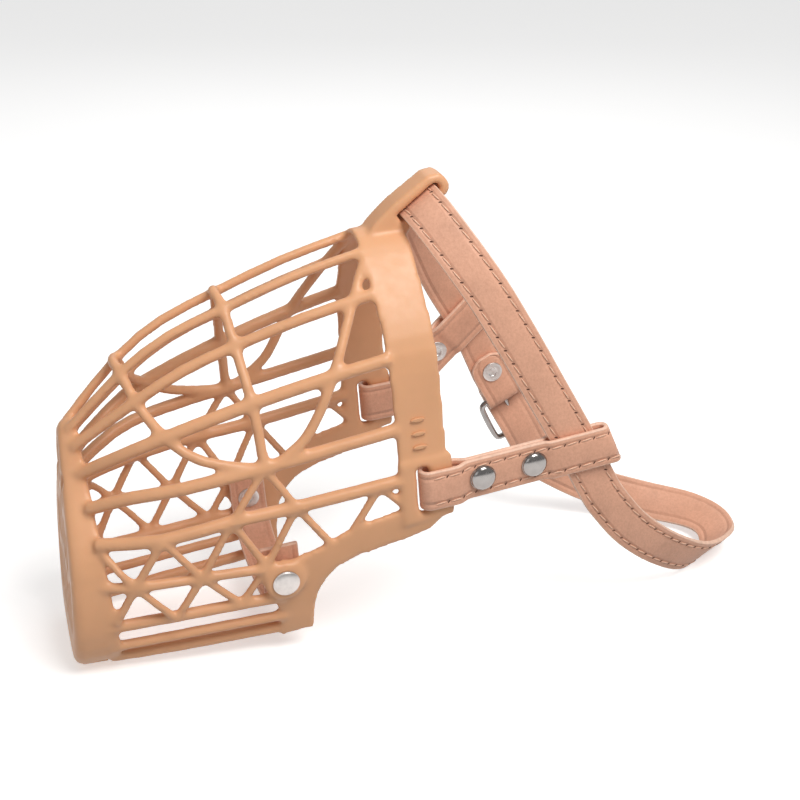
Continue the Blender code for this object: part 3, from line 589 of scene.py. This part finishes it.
def billet_rows():
    """Punched end: up through the frame, over the fold, to its pointed tip."""
    full = [(27.0, 0.0), (23.5, -0.4), (21.0, -0.45), (17.5, -0.35), (13.5, 0.45), (9.5, 1.75), (5.5, 3.2),
            (1.5, 3.6), (-3.0, 3.6)]
    tip = [(-4.6, 3.5, 7.5), (-6.0, 3.4, 6.2), (-7.4, 3.3, 3.8), (-8.4, 3.2, 1.8)]
    return [(beyond, rise, STRAP_HALF) for beyond, rise in full] + tip


class MUZZLE_OT_long_strap(bpy.types.Operator):
    """The long strap in one run, from its riveted fold over the crown and round to its pointed tip"""
    bl_idname = "muzzle.long_strap"
    bl_label = "Long strap"

    def execute(self, context):
        sizes = context.scene.muzzle_sizes
        right = [p for p in smooth_path(RIGHT_SIDE, 6) if p.z > -16.0]
        left = smooth_path(LEFT_SIDE + [tuple(Vector((STRAP_X, HEEL_BAR.y, HEEL_BAR.z)) + BUCKLE_RUN * at)
                                        for at in (39.0, 31.0)], 6)
        sides = path_rows(list(reversed(right)) + left[1:], STRAP_HALF)
        rows = buckle_rows(flap_rows()) + sides + buckle_rows(billet_rows())
        item = leather_strip("long_strap", rows, sizes.strap_thickness)
        finish_strip(item, "muzzle", ["crown_strap", "neck_strap", "strap_billet"])
        inset = sizes.stitch_inset / (STRAP_HALF * 2 * MM)
        lines = []
        for share in (inset, 1 - inset):
            line = along_rows(sides, share)
            if line[len(line) // 4][2].x > 0:
                line = [(p, run, -out) for p, run, out in line]
            lines.append(line)
        seam("long_strap", "muzzle", lines, sizes.strap_thickness)
        return {"FINISHED"}


def on_tab(side, back, rise, x_off):
    """Place on a side tab: distance behind the hinge, height on the tab and sideways offset."""
    share = max(0.0, min(1.0, (back - 5.5) / 12.0))
    tilt = TAB_TILT[side] * share * share * (3 - 2 * share)
    lead, rest = min(back, 6.0), max(0.0, back - 6.0)
    return Vector((side * (HINGE.x + x_off),
                   HINGE.y + lead + rest * math.cos(TAB_TILT[side]) - rise * math.sin(tilt),
                   HINGE.z + rest * math.sin(TAB_TILT[side]) + rise * math.cos(tilt)))


def tab_rows(side):
    """Closed run of a tab: outer ply, rear fold, inner ply, front fold. Also where the outer ply ends."""
    fold, slant = TAB_LOOP[side]
    opening = TAB_OPEN[side]
    front, pressed, loop = 3.05, 1.0, 2.3
    outer = [(-3.8, front, 0), (0.0, front, 0), (3.5, front, 0), (6.2, front - 0.15, 0), (7.2, 2.65, 0),
             (8.4, 2.0, 0), (9.6, 1.35, 0), (11.0, pressed, 0), (16.0, pressed, 0), (21.0, pressed, 0),
             (26.0, pressed, 0), (31.0, pressed, 0), (opening - 0.6, pressed + 0.05, 0),
             (opening + 0.6, 1.5, 0.05), (opening + 1.8, 2.15, 0.12), (opening + 3.5, loop, 0.25),
             (opening + 7.0, loop, 0.5), (opening + 11.0, loop, 0.75), (opening + 15.0, loop, 0.9),
             (fold, loop, 1)]
    stations = list(outer)
    for k in range(1, 9):
        turn = math.pi * k / 9
        stations.append((fold + loop * math.sin(turn), loop * math.cos(turn), 1))
    stations += [(a, -x, k) for a, x, k in reversed(outer)]
    for k in range(1, 9):
        turn = math.pi * k / 9
        stations.append((-3.8 - front * math.sin(turn), -front * math.cos(turn), 0))
    rows = [(on_tab(side, a + slant / 2 * k, -TAB_HALF, x), on_tab(side, a - slant / 2 * k, TAB_HALF, x))
            for a, x, k in stations]
    return rows, len(outer)


class MUZZLE_OT_side_tabs(bpy.types.Operator):
    """Folded leather tabs that join the rim band to the strap"""
    bl_idname = "muzzle.side_tabs"
    bl_label = "Side tabs"

    def execute(self, context):
        sizes = context.scene.muzzle_sizes
        for side, label in ((LEFT, "left"), (RIGHT, "right")):
            rows, outer = tab_rows(side)
            item = leather_strip(label + "_tab", rows, sizes.tab_thickness, closed=True)
            finish_strip(item, label + "_tab", [label + "_side_tab"])
            inset = sizes.stitch_inset / (TAB_HALF * 2 * MM)
            lines = []
            for share in (inset, 1 - inset):
                line = along_rows(rows[:outer + 3], share)
                if line[4][2].x * side < 0:
                    line = [(p, run, -out) for p, run, out in line]
                lines.append(line)
            seam(label + "_tab", label + "_tab", lines, sizes.tab_thickness, side)
        return {"FINISHED"}


class MUZZLE_OT_chin_sling(bpy.types.Operator):
    """Leather sling between the chin rivets"""
    bl_idname = "muzzle.chin_sling"
    bl_label = "Chin sling"

    def execute(self, context):
        half = smooth_path([(28.9, 1.7, -35.5), (28.9, 1.7, -41.0), (28.9, 1.7, -47.0), (28.9, 1.7, -51.6),
                            (27.2, 1.7, -56.0), (23.6, 1.7, -59.8), (18.0, 1.7, -62.6), (9.6, 1.7, -64.2),
                            (0, 1.7, -64.8)], 5)
        path = half + [Vector((-p.x, p.y, p.z)) for p in reversed(half[:-1])]
        wide = Vector((0, 7.0, 0))
        item = leather_strip("chin_sling", [(p - wide, p + wide) for p in path],
                             context.scene.muzzle_sizes.strap_thickness)
        finish_strip(item, "chin_sling", ["chin_strap"])
        return {"FINISHED"}


def turned_cap(rise):
    """Domed rivet cap, with a thin rolled rim, standing on z = 0."""
    bpy.ops.object.select_all(action="DESELECT")
    bpy.ops.mesh.primitive_uv_sphere_add(segments=40, ring_count=20, radius=CAP_RADIUS)
    cap = bpy.context.object
    bpy.ops.object.mode_set(mode="EDIT")
    bpy.ops.mesh.select_all(action="SELECT")
    bpy.ops.mesh.bisect(plane_co=(0, 0, 0), plane_no=(0, 0, 1), use_fill=True, clear_inner=True)
    bpy.ops.object.mode_set(mode="OBJECT")
    for vert in cap.data.vertices:
        share = vert.co.z / CAP_RADIUS
        vert.co.z = rise * (0.16 + 0.84 * share) if share > 0.001 else 0.0
    select_only(cap)
    bpy.ops.object.mode_set(mode="EDIT")
    bpy.ops.mesh.select_all(action="DESELECT")
    bpy.ops.mesh.primitive_torus_add(major_segments=40, minor_segments=10,
                                     major_radius=CAP_RADIUS - 0.00016, minor_radius=ROLL_RADIUS,
                                     location=(0, 0, 0.00032))
    bpy.ops.object.mode_set(mode="OBJECT")
    return cap


def turned_post():
    """Washer head with a rounded edge and a struck dimple, standing on z = 0."""
    bpy.ops.object.select_all(action="DESELECT")
    bpy.ops.mesh.primitive_cylinder_add(vertices=40, radius=HEAD_RADIUS, depth=HEAD_THICK,
                                        location=(0, 0, HEAD_THICK / 2))
    head = bpy.context.object
    bpy.ops.object.mode_set(mode="EDIT")
    bpy.ops.mesh.select_mode(type="FACE")
    bpy.ops.mesh.select_all(action="DESELECT")
    bpy.ops.object.mode_set(mode="OBJECT")
    for face in head.data.polygons:
        face.select = face.normal.z > 0.9
    bpy.ops.object.mode_set(mode="EDIT")
    bpy.ops.mesh.inset(thickness=HEAD_RADIUS * 0.55)
    bpy.ops.mesh.inset(thickness=HEAD_RADIUS * 0.10)
    bpy.ops.transform.translate(value=(0, 0, -0.0004))
    bpy.ops.object.mode_set(mode="OBJECT")
    edge = head.modifiers.new("edge", "BEVEL")
    edge.width = 0.00022
    edge.segments = 3
    edge.limit_method = "ANGLE"
    apply_all(head)
    return head


def set_on(template, name, node, body, way, material, from_inside):
    """Copy a turned part to where its CAD node lies, facing along X."""
    low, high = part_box(node)
    middle = (Vector(low) + Vector(high)) / 2
    if from_inside:
        seat = low[0] + HEAD_THICK if way > 0 else high[0] - HEAD_THICK
        facing = -way
    else:
        seat = low[0] if way > 0 else high[0]
        facing = way
    item = bpy.data.objects.new(name, template.data.copy())
    bpy.context.scene.collection.objects.link(item)
    item.data.transform(Matrix.Translation((seat, middle.y, middle.z))
                        @ Matrix.Rotation(math.radians(90 * facing), 4, "Y"))
    smooth(item, 35.0)
    finished(item, body, [material], [node])


class MUZZLE_OT_rivets(bpy.types.Operator):
    """Domed caps outside and washer heads inside, on the tabs, the chin and the strap's fold"""
    bl_idname = "muzzle.rivets"
    bl_label = "Rivets"

    def execute(self, context):
        domed, low_dome, head = turned_cap(CAP_RISE), turned_cap(LOW_CAP_RISE), turned_post()
        polished, pearl = polished_nickel(), pearl_nickel()
        for label, way in (("left", LEFT), ("right", RIGHT)):
            for place in ("front", "rear"):
                base = label + "_tab_rivet_" + place
                set_on(domed, base, base + "_cap", label + "_tab", way, polished, False)
                set_on(head, base + "_head", base + "_post", label + "_tab", way, pearl, True)
            base = label + "_chin_rivet"
            set_on(low_dome, base, base + "_cap", "muzzle", way, pearl, False)
            set_on(head, base + "_head", base + "_post", "muzzle", way, pearl, True)
        set_on(low_dome, "fold_rivet", "buckle_rivet_cap", "muzzle", RIGHT, polished, False)
        set_on(head, "fold_rivet_head", "buckle_rivet_post", "muzzle", RIGHT, pearl, True)
        for template in (domed, low_dome, head):
            bpy.data.objects.remove(template, do_unlink=True)
        return {"FINISHED"}


class MUZZLE_OT_buckle(bpy.types.Operator):
    """Bent wire frame and its prong"""
    bl_idname = "muzzle.buckle"
    bl_label = "Buckle"

    def execute(self, context):
        for node, body in (("buckle_frame", "buckle"), ("buckle_prong", "prong")):
            item = copy_of(node, node + "_plated")
            wire = item.modifiers.new("wire", "SUBSURF")
            wire.levels = wire.render_levels = 2
            apply_all(item)
            select_only(item)
            bpy.ops.object.shade_smooth()
            finished(item, body, [polished_nickel()], [node])
        return {"FINISHED"}


# ---------------------------------------------------------------- stage

def softbox(name, place, target, size, watts, colour=(1.0, 1.0, 1.0)):
    light = bpy.data.lights.new(name, "AREA")
    light.shape = "RECTANGLE"
    light.size, light.size_y = size
    light.energy = watts
    light.color = colour
    item = bpy.data.objects.new(name, light)
    bpy.context.scene.collection.objects.link(item)
    item.location = place
    item.rotation_euler = (Vector(target) - Vector(place)).to_track_quat("-Z", "Y").to_euler()


class MUZZLE_OT_stage(bpy.types.Operator):
    """White table, soft studio light and the camera"""
    bl_idname = "muzzle.stage"
    bl_label = "Stage"

    def execute(self, context):
        bpy.ops.object.select_all(action="DESELECT")
        bpy.ops.mesh.primitive_grid_add(x_subdivisions=4, y_subdivisions=4, size=24.0,
                                        location=(0, 0.08, -0.0004))
        floor = context.object
        floor.name = "floor"
        material, tree, shader = node_tree("white table")
        colour = ramp(tree, noise(tree, 3.0), [(0.3, (0.93, 0.93, 0.93)), (0.7, (0.95, 0.95, 0.95))])
        tree.links.new(colour, shader.inputs["Base Color"])
        shader.inputs["Roughness"].default_value = 0.7
        shader.inputs["Emission Color"].default_value = (1.0, 1.0, 1.0, 1.0)
        shader.inputs["Emission Strength"].default_value = 0.42
        floor.data.materials.append(material)
        floor.visible_diffuse = False      # the table lights nothing from below

        world = bpy.data.worlds.new("studio")
        context.scene.world = world
        world.use_nodes = True
        background = world.node_tree.nodes["Background"]
        background.inputs["Color"].default_value = (1.0, 1.0, 1.0, 1.0)
        background.inputs["Strength"].default_value = 0.36
        middle = (0.0, 0.11, 0.08)
        softbox("key", (0.45, 0.30, 0.85), middle, (0.45, 0.45), 6.5, (1.0, 0.98, 0.95))
        softbox("front", (0.75, -0.55, 0.45), middle, (0.5, 0.5), 0.6)
        softbox("back", (-0.7, 0.3, 0.6), middle, (0.6, 0.6), 0.9)

        aim = context.scene.muzzle_camera
        camera_data = bpy.data.cameras.new("camera")
        camera_data.lens = aim.lens
        camera_data.sensor_width = 36.0
        camera_data.clip_start = 0.01
        camera = bpy.data.objects.new("camera", camera_data)
        context.scene.collection.objects.link(camera)
        turn, rise = aim.azimuth, aim.elevation
        right = Vector((math.cos(turn), math.sin(turn), 0))
        ahead = Vector((-math.sin(turn) * math.cos(rise), math.cos(turn) * math.cos(rise), -math.sin(rise)))
        axes = Matrix((right, right.cross(ahead), -ahead)).transposed().to_4x4()
        camera.matrix_world = (Matrix.Translation(aim.place) @ axes @ Matrix.Rotation(aim.roll, 4, "Z"))
        context.scene.camera = camera
        context.scene.view_settings.view_transform = "Standard"
        return {"FINISHED"}


OPERATORS = (MUZZLE_OT_cage, MUZZLE_OT_size_bars, MUZZLE_OT_long_strap, MUZZLE_OT_side_tabs,
             MUZZLE_OT_chin_sling, MUZZLE_OT_rivets, MUZZLE_OT_buckle, MUZZLE_OT_stage)


class MUZZLE_PT_panel(bpy.types.Panel):
    """Lists the muzzle's pieces and sizes"""
    bl_label = "Basket muzzle"
    bl_idname = "MUZZLE_PT_panel"
    bl_space_type = "VIEW_3D"
    bl_region_type = "UI"
    bl_category = "Muzzle"

    def draw(self, context):
        for operator in OPERATORS:
            self.layout.operator(operator.bl_idname)
        for settings in (context.scene.muzzle_sizes, context.scene.muzzle_camera):
            for key in settings.bl_rna.properties.keys():
                if key not in ("rna_type", "name"):
                    self.layout.prop(settings, key)


CLASSES = (MuzzleSizes, CameraSizes, *OPERATORS, MUZZLE_PT_panel)


def register():
    for item in CLASSES:
        bpy.utils.register_class(item)
    bpy.types.Scene.muzzle_sizes = PointerProperty(type=MuzzleSizes)
    bpy.types.Scene.muzzle_camera = PointerProperty(type=CameraSizes)


def unregister():
    del bpy.types.Scene.muzzle_camera
    del bpy.types.Scene.muzzle_sizes
    for item in reversed(CLASSES):
        bpy.utils.unregister_class(item)


def main():
    register()
    for step in ("cage", "size_bars", "long_strap", "side_tabs", "chin_sling", "rivets", "buckle", "stage"):
        getattr(bpy.ops.muzzle, step)()


if __name__ == "__main__":
    main()
